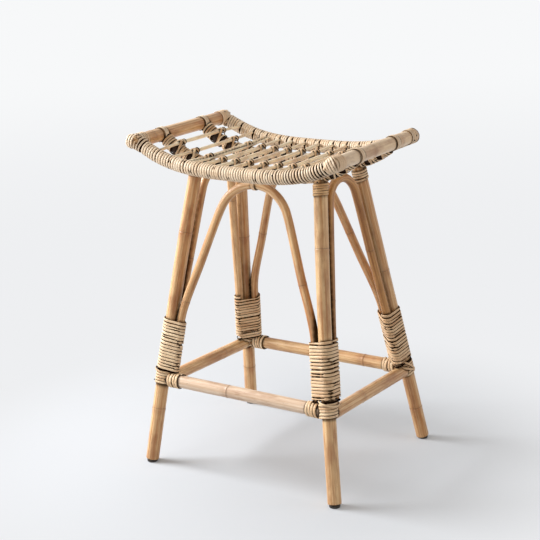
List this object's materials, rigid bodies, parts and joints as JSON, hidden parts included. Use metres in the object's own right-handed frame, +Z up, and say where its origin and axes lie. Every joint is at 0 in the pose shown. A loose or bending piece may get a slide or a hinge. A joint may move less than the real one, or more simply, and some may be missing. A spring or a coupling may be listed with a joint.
{
  "type": "rattan bar stool",
  "caption": "Rattan bar stool with splayed legs, arched hoops between them, rungs for the feet and a saddle seat of thin slats between bound rails.",
  "frame": {"origin": "on the floor, under the middle of the box round the whole stool", "axes": "+Z up; X along the long side of the seat, which dips between its two end poles; -Y is the front, the long side with the higher rung; +X is the right side seen from the front"},
  "size_m": [0.4906, 0.4116, 0.6913],
  "materials": {
    "pole_cane": "peeled rattan pole under a thin clear lacquer, honey tan with darker growth nodes, satin",
    "slat_cane": "thin unpeeled rattan, straw coloured, satin",
    "pale_binding": "split cane strand with its glossy skin outside, cream to pale straw",
    "leg_binding": "split cane strand, straw to tan, with dark gaps between the turns",
    "glide_plastic": "dark moulded plastic, matte",
    "nail_steel": "small steel pin heads, darkened"
  },
  "bodies": {
    "root": {"leg_front_left": "pole_cane", "glide_front_left": "glide_plastic", "bundle_wrap_front_left": "leg_binding", "joint_wrap_front_left": "leg_binding", "top_rings_front_left": "leg_binding", "leg_front_right": "pole_cane", "glide_front_right": "glide_plastic", "bundle_wrap_front_right": "leg_binding", "joint_wrap_front_right": "leg_binding", "top_rings_front_right": "leg_binding", "leg_back_right": "pole_cane", "glide_back_right": "glide_plastic", "bundle_wrap_back_right": "leg_binding", "joint_wrap_back_right": "leg_binding", "top_rings_back_right": "leg_binding", "leg_back_left": "pole_cane", "glide_back_left": "glide_plastic", "bundle_wrap_back_left": "leg_binding", "joint_wrap_back_left": "leg_binding", "top_rings_back_left": "leg_binding", "front_rung": "pole_cane", "back_rung": "pole_cane", "left_rung": "pole_cane", "right_rung": "pole_cane", "front_hoop": "pole_cane", "back_hoop": "pole_cane", "left_hoop": "pole_cane", "right_hoop": "pole_cane", "end_pole_left": "pole_cane", "pole_band_left_front": "pale_binding", "pole_band_left_back": "pale_binding", "end_pole_right": "pole_cane", "pole_band_right_front": "pale_binding", "pole_band_right_back": "pale_binding", "front_rail": "pole_cane", "front_rail_binding": "pale_binding", "support_pole_front": "pole_cane", "support_lashing_front": "leg_binding", "peak_lashing_front": "leg_binding", "back_rail": "pole_cane", "back_rail_binding": "pale_binding", "support_pole_back": "pole_cane", "support_lashing_back": "leg_binding", "peak_lashing_back": "leg_binding", "slat_01": "slat_cane", "slat_02": "slat_cane", "slat_03": "slat_cane", "slat_04": "slat_cane", "slat_05": "slat_cane", "slat_06": "slat_cane", "slat_07": "slat_cane", "slat_08": "slat_cane", "slat_09": "slat_cane", "slat_10": "slat_cane", "slat_11": "slat_cane", "slat_12": "slat_cane", "slat_13": "slat_cane", "slat_03_twin": "slat_cane"}
  },
  "joints": []
}
